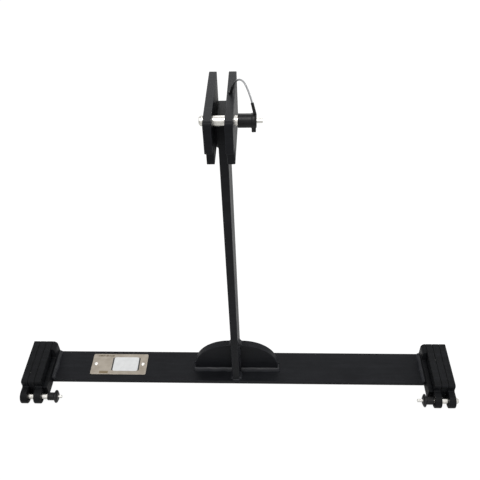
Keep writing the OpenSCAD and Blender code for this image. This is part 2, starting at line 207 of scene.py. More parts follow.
def spread(tree, value, low, high, to_low=0.0, to_high=1.0):
    """Maps a share of a value's range to another range, clamped."""
    return add(tree, "ShaderNodeMapRange", {"clamp": True}, {
        "Value": value, "From Min": low, "From Max": high, "To Min": to_low, "To Max": to_high}).outputs[0]


def mixed(tree, share, first, second):
    """Colour mixed between two colours or outputs."""
    return add(tree, "ShaderNodeMix", {"data_type": "RGBA"}, {0: share, 6: first, 7: second}).outputs[2]


def joined(tree, kind, first, second):
    return add(tree, "ShaderNodeMath", {"operation": kind}, {0: first, 1: second}).outputs[0]


def relief(tree, surface, layers):
    """Stacks bumps, each a height and its real depth in mm."""
    normal = None
    for height, depth_mm in layers:
        sockets = {"Height": height, "Distance": depth_mm * MM, "Strength": 1.0}
        if normal is not None:
            sockets["Normal"] = normal
        normal = add(tree, "ShaderNodeBump", sockets=sockets).outputs[0]
    tree.links.new(normal, surface.inputs["Normal"])


def satin_black_enamel(name, first, second, painted_edge_tone):
    """Sprayed satin black enamel on rolled flat bar: fine orange peel, faint rolling waves along the bar, a thin
    dusting on flats, a few bare nicks, and rounded edges tinted towards the edge colour. That tint is partly
    rubbed wear and partly painted light: a painted highlight where the edge colour is lighter, painted shade where
    it is darker."""
    material, tree, surface, place = finish(name, 0.0, 0.42, Specular_IOR_Level=0.1)
    peel = grain(tree, place, 1.1, 3)
    rolled = grain(tree, place, 5.0, 2, (9, 1, 1))
    cloud = grain(tree, place, 34, 4, rough=0.6)
    speck = grain(tree, place, 0.9, 1)
    edge = add(tree, "ShaderNodeAttribute", {"attribute_name": "edge"}).outputs["Fac"]
    base = mixed(tree, spread(tree, cloud, 0.35, 0.7), srgb(first), srgb(second))
    base = mixed(tree, spread(tree, rolled, 0.45, 0.75, 0, 0.35), base, srgb("242529"))
    dust = joined(tree, "MULTIPLY", spread(tree, speck, 0.70, 0.76), spread(tree, cloud, 0.5, 0.62, 0, 0.5))
    base = mixed(tree, dust, base, srgb("48484a"))
    # Rounded edges pulled patchily towards the last colour given. This is partly rubbed wear and partly painted
    # light: a painted highlight on the frame's edges, painted shade in the seams between bracket plates.
    edge_wear_and_light = joined(tree, "MULTIPLY", edge, spread(tree, grain(tree, place, 7, 3), 0.42, 0.62, 0.15, 0.6))
    base = mixed(tree, edge_wear_and_light, base, srgb(painted_edge_tone))
    nick = joined(tree, "MULTIPLY", edge, spread(tree, grain(tree, place, 2.3, 2), 0.735, 0.75))
    base = mixed(tree, nick, base, srgb("a9a7a3"))
    tree.links.new(base, surface.inputs["Base Color"])
    gloss = spread(tree, cloud, 0.3, 0.7, 0.38, 0.5)
    smoother_edge = joined(tree, "SUBTRACT", gloss, joined(tree, "MULTIPLY", edge, 0.05))
    tree.links.new(smoother_edge, surface.inputs["Roughness"])
    tree.links.new(nick, surface.inputs["Metallic"])
    relief(tree, surface, [(peel, 0.035), (rolled, 0.05), (speck, 0.01)])
    return material


def enamelled_weld():
    """The same enamel over a weld bead, lighter on the ripple crests and darker between them: painted highlight
    and painted shade.
    """
    material, tree, surface, place = finish("enamelled_weld", 0.0, 0.34, Specular_IOR_Level=0.2)
    crest = add(tree, "ShaderNodeAttribute", {"attribute_name": "crest"}).outputs["Fac"]
    spatter = grain(tree, place, 0.8, 3)
    cloud = grain(tree, place, 9, 3)
    # Painted light: the ripple crests lighter as a painted highlight, the troughs darker as painted shade.
    base = mixed(tree, spread(tree, crest, 0.3, 1.0), srgb("15161a"), srgb("25262a"))
    base = mixed(tree, spread(tree, cloud, 0.45, 0.7, 0, 0.6), base, srgb("2a2b30"))
    tree.links.new(base, surface.inputs["Base Color"])
    tree.links.new(spread(tree, cloud, 0.3, 0.7, 0.3, 0.46), surface.inputs["Roughness"])
    relief(tree, surface, [(spatter, 0.06), (grain(tree, place, 0.35, 1), 0.015)])
    return material


def turned_steel(name, light, dark, roughness):
    """Ground and turned bright steel: fine rings round the pin's axis and faint smears of oil,
    nearly white in the light."""
    material, tree, surface, place = finish(name, 1.0, roughness)
    rings = grain(tree, place, 0.22, 2, (1, 60, 60))
    smear = grain(tree, place, 3.2, 3)
    base = mixed(tree, spread(tree, smear, 0.35, 0.7), srgb(light), srgb(dark))
    base = mixed(tree, spread(tree, rings, 0.5, 0.8, 0, 0.25), base, srgb("8b8984"))
    tree.links.new(base, surface.inputs["Base Color"])
    tree.links.new(spread(tree, smear, 0.3, 0.7, roughness - 0.05, roughness + 0.09), surface.inputs["Roughness"])
    relief(tree, surface, [(rings, 0.006), (smear, 0.004)])
    return material


def black_anodised_aluminium():
    """Turned and black anodised aluminium: tool rings round the axis, a soft metallic sheen, rims worn paler."""
    material, tree, surface, place = finish("black_anodised_aluminium", 0.0, 0.26, Specular_IOR_Level=0.24)
    rings = grain(tree, place, 0.3, 2, (1, 60, 60))
    cloud = grain(tree, place, 4, 3)
    edge = add(tree, "ShaderNodeAttribute", {"attribute_name": "edge"}).outputs["Fac"]
    base = mixed(tree, spread(tree, cloud, 0.35, 0.7), srgb("070708"), srgb("0d0d0f"))
    worn = joined(tree, "MULTIPLY", edge, spread(tree, cloud, 0.4, 0.65, 0.1, 0.7))
    base = mixed(tree, worn, base, srgb("333336"))
    tree.links.new(base, surface.inputs["Base Color"])
    tree.links.new(spread(tree, cloud, 0.3, 0.7, 0.28, 0.42), surface.inputs["Roughness"])
    relief(tree, surface, [(rings, 0.012), (grain(tree, place, 0.15, 1), 0.004)])
    return material


def heat_shrink_sleeve():
    """Black heat-shrunk polyolefin: matt, with soft wrinkles across the sleeve and a dusty bloom."""
    material, tree, surface, place = finish("heat_shrink_sleeve", 0.0, 0.55, Specular_IOR_Level=0.2)
    wrinkle = grain(tree, place, 0.9, 2, (3, 3, 1))
    bloom = grain(tree, place, 2.5, 3)
    base = mixed(tree, spread(tree, bloom, 0.4, 0.7), srgb("101012"), srgb("1e1e20"))
    tree.links.new(base, surface.inputs["Base Color"])
    tree.links.new(spread(tree, bloom, 0.3, 0.7, 0.48, 0.64), surface.inputs["Roughness"])
    relief(tree, surface, [(wrinkle, 0.08), (grain(tree, place, 0.2, 1), 0.01)])
    return material


def coated_wire_rope():
    """Bright steel wire rope under a thin clear nylon coat: the strands show as soft ridges under a satin skin.
    Its first centimetre from the ear is painted near black, as painted shade and a painted reflection of the black
    ear it stands against."""
    material, tree, surface, place = finish("coated_wire_rope", 0.7, 0.34, Coat_Weight=0.35, Coat_Roughness=0.3)
    scuff = grain(tree, place, 1.4, 3)
    base = mixed(tree, spread(tree, scuff, 0.4, 0.7), srgb("8d8e90"), srgb("b4b5b7"))
    # Painted shade and reflection: near black up to about 14.5 to 19 mm along X, where the rope stands over the
    # black ear, with a ragged edge.
    from_ear = add(tree, "ShaderNodeSeparateXYZ", sockets={0: place}).outputs[0]
    ragged = joined(tree, "ADD", from_ear, joined(tree, "MULTIPLY", scuff, 1.5 * MM))
    base = mixed(tree, spread(tree, ragged, 14.5 * MM, 19 * MM, 1, 0), base, srgb("19191b"))
    tree.links.new(base, surface.inputs["Base Color"])
    tree.links.new(spread(tree, scuff, 0.3, 0.7, 0.3, 0.48), surface.inputs["Roughness"])
    relief(tree, surface, [(grain(tree, place, 0.25, 2), 0.01)])
    return material


def spring_wire():
    """Cold-drawn spring wire: grey and slightly oily, with fine draw lines."""
    material, tree, surface, place = finish("spring_wire", 1.0, 0.3)
    oil = grain(tree, place, 1.0, 3)
    tree.links.new(mixed(tree, oil, srgb("8f9092"), srgb("5f6063")), surface.inputs["Base Color"])
    tree.links.new(spread(tree, oil, 0.3, 0.7, 0.22, 0.4), surface.inputs["Roughness"])
    relief(tree, surface, [(oil, 0.004)])
    return material


def white_label_film():
    """Blank satin polyester label: bright white, with a faint cloudy show-through and a grey edge."""
    material, tree, surface, place = finish("white_label_film", 0.0, 0.42)
    cloud = grain(tree, place, 6, 3)
    edge = add(tree, "ShaderNodeAttribute", {"attribute_name": "edge"}).outputs["Fac"]
    base = mixed(tree, spread(tree, cloud, 0.35, 0.75), srgb("e8e9e9"), srgb("dddede"))
    base = mixed(tree, joined(tree, "MULTIPLY", edge, 0.6), base, srgb("bdbdbc"))
    tree.links.new(base, surface.inputs["Base Color"])
    tree.links.new(spread(tree, cloud, 0.3, 0.7, 0.36, 0.5), surface.inputs["Roughness"])
    relief(tree, surface, [(cloud, 0.03), (grain(tree, place, 0.3, 2), 0.004)])
    return material


def inside(tree, place, low, high):
    """1 inside a flat rectangle given by two corners, with an edge 0.1 mm soft."""
    axes = add(tree, "ShaderNodeSeparateXYZ", sockets={0: place}).outputs
    share = None
    for axis in (0, 1):
        for edge_at, sign in ((low[axis], 1), (high[axis], -1)):
            a = spread(tree, axes[axis], edge_at - 0.05 * MM, edge_at + 0.05 * MM, 0.5 - sign / 2, 0.5 + sign / 2)
            share = a if share is None else joined(tree, "MULTIPLY", share, a)
    return share


def champagne_plate():
    """Brushed, champagne-toned aluminium plate: long brush lines, a stained gold band near its top edge, a small
    gold block at its foot and a black printed ground that shows at both ends of the label."""
    material, tree, surface, place = finish("champagne_plate", 0.35, 0.46)
    low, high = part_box("data_plate")
    lab_low, lab_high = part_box("blank_label")
    brush = grain(tree, place, 0.35, 3, (50, 1, 1))
    cloud = grain(tree, place, 12, 3)
    edge = add(tree, "ShaderNodeAttribute", {"attribute_name": "edge"}).outputs["Fac"]
    base = mixed(tree, spread(tree, cloud, 0.35, 0.7), srgb("a89f92"), srgb("93897c"))
    base = mixed(tree, spread(tree, brush, 0.4, 0.75, 0, 0.4), base, srgb("bdb5a9"))
    band = inside(tree, place, (low.x + 7 * MM, high.y - 4.6 * MM), (low.x + 31 * MM, high.y - 2.2 * MM))
    block = inside(tree, place, (low.x + 13 * MM, low.y + 1.4 * MM), (low.x + 26 * MM, low.y + 5.6 * MM))
    stain = joined(tree, "MULTIPLY", band, spread(tree, grain(tree, place, 2.2, 3), 0.35, 0.6, 0.35, 0.95))
    base = mixed(tree, stain, base, srgb("5d4f35"))
    brushed_block = joined(tree, "MULTIPLY", block, spread(tree, brush, 0.3, 0.6, 0.55, 0.9))
    base = mixed(tree, brushed_block, base, srgb("6a5730"))
    past, short = 2 * MM, 1.2 * MM
    ground = inside(tree, place, (lab_low.x - past, lab_low.y + short), (lab_high.x + past, lab_high.y - short))
    base = mixed(tree, ground, base, srgb("1d1b1b"))
    base = mixed(tree, joined(tree, "MULTIPLY", edge, 0.5), base, srgb("cdc7bc"))
    tree.links.new(base, surface.inputs["Base Color"])
    tree.links.new(spread(tree, brush, 0.3, 0.7, 0.34, 0.5), surface.inputs["Roughness"])
    tree.links.new(spread(tree, ground, 0, 1, 0.35, 0.0), surface.inputs["Metallic"])
    relief(tree, surface, [(brush, 0.008), (cloud, 0.02)])
    return material


# The last colour is the painted edge tone: lighter on the frame as a painted highlight, darker on the brackets as
# painted shade in the seams.
enamel = satin_black_enamel("satin_black_enamel", "141518", "1a1b1e", "2e2f34")
# The brackets and liners: the frame's same enamel, with its colours darkened as painted shade.
shaded_bracket_enamel = satin_black_enamel("shaded_satin_black_enamel", "0b0c0e", "101113", "060607")
weld_enamel = enamelled_weld()
shank_steel = turned_steel("turned_steel_shank", "e6e4df", "cfccc5", 0.2)
button_steel = turned_steel("turned_steel_button", "e9e8e4", "d5d3ce", 0.24)
rivet_aluminium = turned_steel("rivet_aluminium", "ecebe8", "dad8d4", 0.32)
anodised = black_anodised_aluminium()
sleeve_finish = heat_shrink_sleeve()
rope_finish = coated_wire_rope()
spring_finish = spring_wire()
label_finish = white_label_film()
plate_finish = champagne_plate()


# ---------- lanyard: one coated wire rope, standing in an arch between its two sleeves ----------

EAR_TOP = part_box("top_ear_right")[1].z / MM
ROPE_D = 1.8
rope_route = [mm(x, y, EAR_TOP + z) for x, y, z in (
    (12.5, -20.6, 9), (13.25, -21.2, 11.4), (14.5, -22.7, 14), (15.8, -24.3, 16.2), (17.1, -26, 18),
    (18.6, -28, 19.5), (20.2, -30.3, 20.5), (21.8, -32.8, 20.8), (23.4, -35.2, 20.2), (24.8, -37.5, 18.9),
    (26.1, -39.6, 17.1), (27.3, -41.5, 15.1), (28.3, -43.2, 13), (29.2, -44.7, 10.9), (30, -46, 8.75),
    (30.6, -46.8, 6.5))]


def eased(points, steps):
    """The same route with steps points between each two, on a smooth curve through them."""
    out = []
    last = len(points) - 1
    for i in range(last):
        p0, p1, p2, p3 = (points[min(max(k, 0), last)] for k in (i - 1, i, i + 1, i + 2))
        for s in range(steps):
            t = s / steps
            out.append(0.5 * (2 * p1 + (p2 - p0) * t + (2 * p0 - 5 * p1 + 4 * p2 - p3) * t * t
                              + (3 * p1 - p0 - 3 * p2 + p3) * t ** 3))
    out.append(points[last])
    return out


def rope_tree():
    """Strands laid round the route: a ring of strand sections, swept along it with an even twist."""
    tree = bpy.data.node_groups.new("rope_strands", "GeometryNodeTree")
    tree.interface.new_socket("Route", in_out="INPUT", socket_type="NodeSocketGeometry")
    for label, kind, value in (("Rope diameter", "NodeSocketFloat", ROPE_D * MM), ("Strands", "NodeSocketInt", 7),
                               ("Lay length", "NodeSocketFloat", 9 * MM), ("Finish", "NodeSocketMaterial", None)):
        socket = tree.interface.new_socket(label, in_out="INPUT", socket_type=kind)
        if value is not None:
            socket.default_value = value
    tree.interface.new_socket("Rope", in_out="OUTPUT", socket_type="NodeSocketGeometry")
    given = add(tree, "NodeGroupInput").outputs
    strand_r = joined(tree, "MULTIPLY", given["Rope diameter"], 0.17)
    ring_r = joined(tree, "MULTIPLY", given["Rope diameter"], 0.33)
    line = add(tree, "GeometryNodeMeshToCurve", sockets={0: given["Route"]}).outputs[0]
    along = add(tree, "GeometryNodeSplineParameter").outputs["Length"]
    angle = joined(tree, "MULTIPLY", joined(tree, "DIVIDE", along, given["Lay length"]), 2 * math.pi)
    twisted = add(tree, "GeometryNodeSetCurveTilt", sockets={"Curve": line, "Tilt": angle}).outputs[0]
    ring = add(tree, "GeometryNodeCurvePrimitiveCircle", sockets={
        "Resolution": given["Strands"], "Radius": ring_r}).outputs[0]
    spots = add(tree, "GeometryNodeCurveToPoints", {"mode": "EVALUATED"}, {"Curve": ring}).outputs["Points"]
    section = add(tree, "GeometryNodeCurvePrimitiveCircle", sockets={
        "Resolution": 8, "Radius": strand_r}).outputs[0]
    laid = add(tree, "GeometryNodeInstanceOnPoints", sockets={"Points": spots, "Instance": section}).outputs[0]
    sections = add(tree, "GeometryNodeRealizeInstances", sockets={0: laid}).outputs[0]
    swept = add(tree, "GeometryNodeCurveToMesh", sockets={
        "Curve": twisted, "Profile Curve": sections, "Fill Caps": True})
    core_section = add(tree, "GeometryNodeCurvePrimitiveCircle", sockets={
        "Resolution": 10, "Radius": ring_r}).outputs[0]
    core = add(tree, "GeometryNodeCurveToMesh", sockets={
        "Curve": twisted, "Profile Curve": core_section, "Fill Caps": True})
    both = add(tree, "GeometryNodeJoinGeometry")
    tree.links.new(core.outputs[0], both.inputs[0])
    tree.links.new(swept.outputs[0], both.inputs[0])
    whole = add(tree, "GeometryNodeRealizeInstances", sockets={0: both.outputs[0]}).outputs[0]
    painted = add(tree, "GeometryNodeSetMaterial", sockets={0: whole, "Material": given["Finish"]}).outputs[0]
    add(tree, "NodeGroupOutput", sockets={0: painted})
    return tree


def grown(source, tree, inputs, name):
    """Runs a geometry tree on a mesh and returns the plain mesh piece, the tree's modifier gone."""
    start = bpy.data.objects.new(name + "_start", source)
    scene.collection.objects.link(start)
    grow = start.modifiers.new("grow", "NODES")
    grow.node_group = tree
    for item in tree.interface.items_tree:
        if item.in_out == "INPUT" and item.name in inputs:
            grow[item.identifier] = inputs[item.name]
    dg = bpy.context.evaluated_depsgraph_get()
    data = bpy.data.meshes.new_from_object(start.evaluated_get(dg), preserve_all_data_layers=True, depsgraph=dg)
    data.name = name
    start.modifiers.remove(grow)
    bpy.data.objects.remove(start)
    piece = bpy.data.objects.new(name, data)
    scene.collection.objects.link(piece)
    return piece


def outward(piece, angle=None):
    bm = bmesh.new()
    bm.from_mesh(piece.data)
    bmesh.ops.recalc_face_normals(bm, faces=bm.faces)
    bm.to_mesh(piece.data)
    bm.free()
    piece.data.shade_smooth()
    if angle:
        piece.data.set_sharp_from_angle(angle=math.radians(angle))


rope_line = eased(rope_route, 6)
line_mesh = bpy.data.meshes.new("rope_line")
line_mesh.from_pydata([tuple(p) for p in rope_line], [(i, i + 1) for i in range(len(rope_line) - 1)], [])
rope = grown(line_mesh, rope_tree(), {"Finish": rope_finish}, "lanyard_rope")
outward(rope, 60)
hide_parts("lanyard_wire")
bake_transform(rope, "frame", "top_pin", start=tuple(rope_line[0]), end=tuple(rope_line[-1]))
ear_sleeve = rounded_copy("lanyard_ear_sleeve", sleeve_finish, 0.45, 3, "lanyard_sleeve_at_ear")
pin_sleeve = rounded_copy("lanyard_pin_sleeve", sleeve_finish, 0.45, 3, "lanyard_sleeve_at_pin")


# ---------- flat bar, plate and clevises ----------

for node in ("base_bar", "post", "gusset_left", "gusset_right", "top_ear_left", "top_ear_right"):
    rounded_copy(node, enamel, 0.6)
for node in ("left_inner_ear", "left_block", "left_outer_ear",
             "right_inner_ear", "right_block", "right_outer_ear"):
    rounded_copy(node, shaded_bracket_enamel, 0.95, 3)
rounded_copy("top_web", enamel, 0.3)
for node in ("left_liner", "right_liner"):
    rounded_copy(node, shaded_bracket_enamel, 0.8, 3)


# ---------- weld beads ----------

def bead_tree():
    """Ripples on a bead: crescents that follow each other along it, over a slow wander of the bead's swell."""
    tree = bpy.data.node_groups.new("bead_ripples", "GeometryNodeTree")
    tree.interface.new_socket("Bead", in_out="INPUT", socket_type="NodeSocketGeometry")
    for label, kind, value in (("Ripple pitch", "NodeSocketFloat", 1.9 * MM),
                               ("Ripple height", "NodeSocketFloat", 0.16 * MM),
                               ("Wander", "NodeSocketFloat", 0.5 * MM), ("Seed", "NodeSocketFloat", 3.0),
                               ("Finish", "NodeSocketMaterial", None)):
        socket = tree.interface.new_socket(label, in_out="INPUT", socket_type=kind)
        if value is not None:
            socket.default_value = value
    tree.interface.new_socket("Rippled bead", in_out="OUTPUT", socket_type="NodeSocketGeometry")
    given = add(tree, "NodeGroupInput").outputs
    along = add(tree, "GeometryNodeInputNamedAttribute", {"data_type": "FLOAT"}, {"Name": "along"}).outputs[0]
    across = add(tree, "GeometryNodeInputNamedAttribute", {"data_type": "FLOAT"}, {"Name": "across"}).outputs[0]
    free = add(tree, "GeometryNodeInputNamedAttribute", {"data_type": "FLOAT"}, {"Name": "free"}).outputs[0]
    place = add(tree, "GeometryNodeInputPosition").outputs[0]
    bow = joined(tree, "MULTIPLY", joined(tree, "MULTIPLY", across, across), 2.2)
    wobble = add(tree, "ShaderNodeTexNoise", {"noise_dimensions": "4D"}, {
        "Vector": place, "W": given["Seed"], "Scale": 160.0, "Detail": 1.0}).outputs[0]
    count = joined(tree, "DIVIDE", along, given["Ripple pitch"])
    phase = joined(tree, "ADD", count, joined(tree, "ADD", bow, wobble))
    wave = joined(tree, "SINE", joined(tree, "MULTIPLY", phase, 2 * math.pi), 0.0)
    swell = add(tree, "ShaderNodeTexNoise", {"noise_dimensions": "4D"}, {
        "Vector": place, "W": given["Seed"], "Scale": 90.0, "Detail": 2.0}).outputs[0]
    lift = joined(tree, "ADD", joined(tree, "MULTIPLY", wave, given["Ripple height"]),
                  joined(tree, "MULTIPLY", joined(tree, "SUBTRACT", swell, 0.58), given["Wander"]))
    lift = joined(tree, "MULTIPLY", lift, free)
    normal = add(tree, "GeometryNodeInputNormal").outputs[0]
    offset = add(tree, "ShaderNodeVectorMath", {"operation": "SCALE"}, {0: normal, "Scale": lift}).outputs[0]
    moved = add(tree, "GeometryNodeSetPosition", sockets={"Geometry": given["Bead"], "Offset": offset}).outputs[0]
    marked = add(tree, "GeometryNodeStoreNamedAttribute", {"data_type": "FLOAT", "domain": "POINT"}, {
        "Geometry": moved, "Name": "crest", "Value": spread(tree, wave, -1, 1)}).outputs[0]
    whole = add(tree, "GeometryNodeRealizeInstances", sockets={0: marked}).outputs[0]
    painted = add(tree, "GeometryNodeSetMaterial", sockets={0: whole, "Material": given["Finish"]}).outputs[0]
    add(tree, "NodeGroupOutput", sockets={0: painted})
    return tree


def bead(bm, start, end, leg_a, leg_b, rng, swell=0.16, taper=2.2):
    """One fillet bead: its root runs from start to end, its two toes lie leg_a and leg_b from the root."""
    along_layer = bm.verts.layers.float["along"]
    across_layer = bm.verts.layers.float["across"]
    free_layer = bm.verts.layers.float["free"]
    length = (end - start).length
    steps = max(6, int(length / (0.32 * MM)))
    rows = 9
    out = (leg_a.normalized() + leg_b.normalized()).normalized()
    size = (leg_a.length + leg_b.length) / 2
    rings = []
    phase_a, phase_b = rng.uniform(0, 6), rng.uniform(0, 6)
    for i in range(steps + 1):
        t = i / steps
        at = t * length
        near_end = min(at, length - at) / (taper * MM)
        round_end = math.sqrt(max(0.0, 1 - (1 - min(1.0, near_end)) ** 2)) * 0.75 + 0.25
        wide_a = round_end * (0.95 + 0.05 * math.sin(at / (4.1 * MM) + phase_a))
        wide_b = round_end * (0.95 + 0.05 * math.sin(at / (3.3 * MM) + phase_b))
        root = start.lerp(end, t)
        ring = []
        for j in range(rows):
            s = j / (rows - 1)
            crown = 4 * s * (1 - s)
            point = root + leg_a * (1 - s) * wide_a + leg_b * s * wide_b + out * size * swell * crown * round_end
            vert = bm.verts.new(point)
            vert[along_layer] = at
            vert[across_layer] = 2 * s - 1
            vert[free_layer] = crown * min(1.0, near_end)
            ring.append(vert)
        ring.append(bm.verts.new(root - out * 0.05 * MM))
        rings.append(ring)
    count = rows + 1
    for a, b in zip(rings, rings[1:]):
        for j in range(count):
            k = (j + 1) % count
            bm.faces.new((a[j], b[j], b[k], a[k]))
    bm.faces.new(rings[0])
    bm.faces.new(list(reversed(rings[-1])))


def weld(name, nodes, body, beads, seed):
    rng = random.Random(seed)
    bm = bmesh.new()
    for label in ("along", "across", "free"):
        bm.verts.layers.float.new(label)
    for one in beads:
        bead(bm, *one[:4], rng, *one[4:])
    bmesh.ops.recalc_face_normals(bm, faces=bm.faces)
    data = bpy.data.meshes.new(name + "_plain")
    bm.to_mesh(data)
    bm.free()
    data.shade_smooth()
    piece = grown(data, ripples, {"Finish": weld_enamel, "Seed": float(seed)}, name)
    piece.data.shade_smooth()
    piece.data.set_sharp_from_angle(angle=math.radians(70))
    return dressed(piece, body, nodes)


ripples = bead_tree()
gus_low, gus_high = (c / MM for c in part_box("gusset_right"))
all_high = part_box("gusset_welds")[1] / MM
post_low, post_high = (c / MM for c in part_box("post"))
foot_low, foot_high = (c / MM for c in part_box("post_foot_weld"))
head_low, head_high = (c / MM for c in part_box("post_head_weld"))
bar_top = gus_low.z
LEG = all_high.y - gus_high.y
LIGHT = 2.4
floor_beads = []
for side in (-1, 1):
    for face in (-1, 1):
        y = face * gus_high.y
        floor_beads.append((mm(side * post_high.x, y, bar_top), mm(side * all_high.x, y, bar_top),
                            mm(0, face * LEG, 0), mm(0, 0, LEG)))
        floor_beads.append((mm(side * post_high.x, y, bar_top + 3), mm(side * post_high.x, y, gus_high.z),
                            mm(side * LIGHT, 0, 0), mm(0, face * LIGHT, 0)))
    floor_beads.append((mm(side * post_high.x, gus_low.y, gus_high.z),
                        mm(side * post_high.x, gus_high.y, gus_high.z),
                        mm(side * 5.2, 0, 0), mm(0, 0, all_high.z - gus_high.z), 0.05, 1.2))
    floor_beads.append((mm(side * gus_high.x, gus_low.y - 1.5, bar_top),
                        mm(side * gus_high.x, gus_high.y + 1.5, bar_top),
                        mm(side * (all_high.x - gus_high.x), 0, 0), mm(0, 0, 2.6), 0.1, 1.5))
weld("gusset_weld_beads", ["gusset_welds"], "frame", floor_beads, 3)

foot_beads = []
for side in (-1, 1):
    for y0, y1 in ((foot_high.y, gus_high.y + LEG - 1), (gus_low.y - LEG + 1, post_low.y)):
        foot_beads.append((mm(side * post_high.x, y0, bar_top), mm(side * post_high.x, y1, bar_top),
                           mm(side * (foot_high.x - post_high.x) * 0.8, 0, 0),
                           mm(0, 0, (foot_high.z - bar_top) * 0.8), 0.1, 3))
foot_beads.append((mm(post_low.x, post_low.y, bar_top), mm(post_high.x, post_low.y, bar_top),
                   mm(0, (foot_low.y - post_low.y) * 0.7, 0), mm(0, 0, 1.6), 0.05, 1.2))
weld("post_foot_bead", ["post_foot_weld"], "frame", foot_beads, 5)

head_beads = []
for side in (-1, 1):
    head_beads.append((mm(side * post_high.x, head_high.y, head_high.z),
                       mm(side * post_high.x, head_low.y, head_high.z),
                       mm(side * (head_high.x - post_high.x), 0, 0), mm(0, 0, head_low.z - head_high.z), 0.08))
weld("post_head_bead", ["post_head_weld"], "frame", head_beads, 7)

for number, (name, node) in enumerate((("left_bar_bead", "left_bar_weld"), ("right_bar_bead", "right_bar_weld"))):
    low, high = (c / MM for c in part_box(node))
    side = -1 if high.x < 0 else 1
    root_x = low.x if side < 0 else high.x
    weld(name, [node], "frame", [(mm(root_x, low.y, low.z), mm(root_x, high.y, low.z),
                                  mm(-side * (high.x - low.x), 0, 0), mm(0, 0, high.z - low.z))], 11 + number)


# ---------- data plate, its label and its rivets ----------

def rounded_slab(low, high, corner, edge_round, material, name, node):
    """A flat slab with rounded corners, its upper edge rounded and marked."""
    bm = bmesh.new()
    ring = []
    for cx, cy, a0 in ((high.x - corner, high.y - corner, 0), (low.x + corner, high.y - corner, 90),
                       (low.x + corner, low.y + corner, 180), (high.x - corner, low.y + corner, 270)):
        for k in range(9):
            a = math.radians(a0 + 90 * k / 8)
            ring.append(bm.verts.new((cx + corner * math.cos(a), cy + corner * math.sin(a), low.z)))
    bm.faces.new(ring)
    made = bmesh.ops.extrude_face_region(bm, geom=list(bm.faces))
    top = [v for v in made["geom"] if isinstance(v, bmesh.types.BMVert)]
    bmesh.ops.translate(bm, verts=top, vec=(0, 0, high.z - low.z))
    bmesh.ops.recalc_face_normals(bm, faces=bm.faces)
    mark = bm.faces.layers.float.new("edge")
    rim = [e for e in bm.edges if all(abs(v.co.z - high.z) < 1e-7 for v in e.verts) and len(e.link_faces) == 2]
    cut = bmesh.ops.bevel(bm, geom=rim, offset=edge_round, offset_type="OFFSET", segments=2, profile=0.5,
                          affect="EDGES", clamp_overlap=True)
    for face in cut["faces"]:
        face[mark] = 1.0
    data = bpy.data.meshes.new(name)
    bm.to_mesh(data)
    bm.free()
    data.materials.append(material)
    data.shade_smooth()
    data.set_sharp_from_angle(angle=math.radians(50))
    piece = bpy.data.objects.new(name, flat_weighted(data, name))
    scene.collection.objects.link(piece)
    return dressed(piece, "frame", [node])


rounded_slab(*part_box("data_plate"), 2.2 * MM, 0.25 * MM, plate_finish, "riveted_plate", "data_plate")
rounded_slab(*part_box("blank_label"), 2.8 * MM, 0.06 * MM, label_finish, "plate_label", "blank_label")


def rivet_tree(head_r, head_h):
    """Domed blind-rivet heads, each with its drawn-in centre, set at the given points."""
    tree = bpy.data.node_groups.new("rivet_heads", "GeometryNodeTree")
    tree.interface.new_socket("Places", in_out="INPUT", socket_type="NodeSocketGeometry")
    for label, kind, value in (("Head radius", "NodeSocketFloat", head_r),
                               ("Head height", "NodeSocketFloat", head_h),
                               ("Finish", "NodeSocketMaterial", None)):
        socket = tree.interface.new_socket(label, in_out="INPUT", socket_type=kind)
        if value is not None:
            socket.default_value = value
    tree.interface.new_socket("Rivets", in_out="OUTPUT", socket_type="NodeSocketGeometry")
    given = add(tree, "NodeGroupInput").outputs
    disc = add(tree, "GeometryNodeMeshGrid", sockets={
        "Size X": 2.0, "Size Y": 2.0, "Vertices X": 33, "Vertices Y": 33}).outputs[0]
    at = add(tree, "GeometryNodeInputPosition").outputs[0]
    parts = add(tree, "ShaderNodeSeparateXYZ", sockets={0: at}).outputs
    # A square grid pressed round: each side is drawn in by how far out the other one lies
    xx = joined(tree, "MULTIPLY", parts[0], parts[0])
    yy = joined(tree, "MULTIPLY", parts[1], parts[1])
    in_x = joined(tree, "SQRT", joined(tree, "SUBTRACT", 1.0, joined(tree, "MULTIPLY", yy, 0.5)), 0.0)
    in_y = joined(tree, "SQRT", joined(tree, "SUBTRACT", 1.0, joined(tree, "MULTIPLY", xx, 0.5)), 0.0)
    px = joined(tree, "MULTIPLY", parts[0], in_x)
    py = joined(tree, "MULTIPLY", parts[1], in_y)
    rr = joined(tree, "ADD", joined(tree, "MULTIPLY", px, px), joined(tree, "MULTIPLY", py, py))
    dome = joined(tree, "SQRT", joined(tree, "MAXIMUM", joined(tree, "SUBTRACT", 1.0, rr), 0.0), 0.0)
    radius = joined(tree, "SQRT", rr, 0.0)
    hole = spread(tree, radius, 0.2, 0.34, 0.45, 0.0)
    height = joined(tree, "SUBTRACT", dome, hole)
    shaped = add(tree, "ShaderNodeCombineXYZ", sockets={
        0: joined(tree, "MULTIPLY", px, given["Head radius"]),
        1: joined(tree, "MULTIPLY", py, given["Head radius"]),
        2: joined(tree, "MULTIPLY", height, given["Head height"])}).outputs[0]
    head = add(tree, "GeometryNodeSetPosition", sockets={"Geometry": disc, "Position": shaped}).outputs[0]
    laid = add(tree, "GeometryNodeInstanceOnPoints", sockets={
        "Points": given["Places"], "Instance": head}).outputs[0]
    whole = add(tree, "GeometryNodeRealizeInstances", sockets={0: laid}).outputs[0]
    smooth = add(tree, "GeometryNodeSetShadeSmooth", sockets={0: whole}).outputs[0]
    painted = add(tree, "GeometryNodeSetMaterial", sockets={0: smooth, "Material": given["Finish"]}).outputs[0]
    add(tree, "NodeGroupOutput", sockets={0: painted})
    return tree


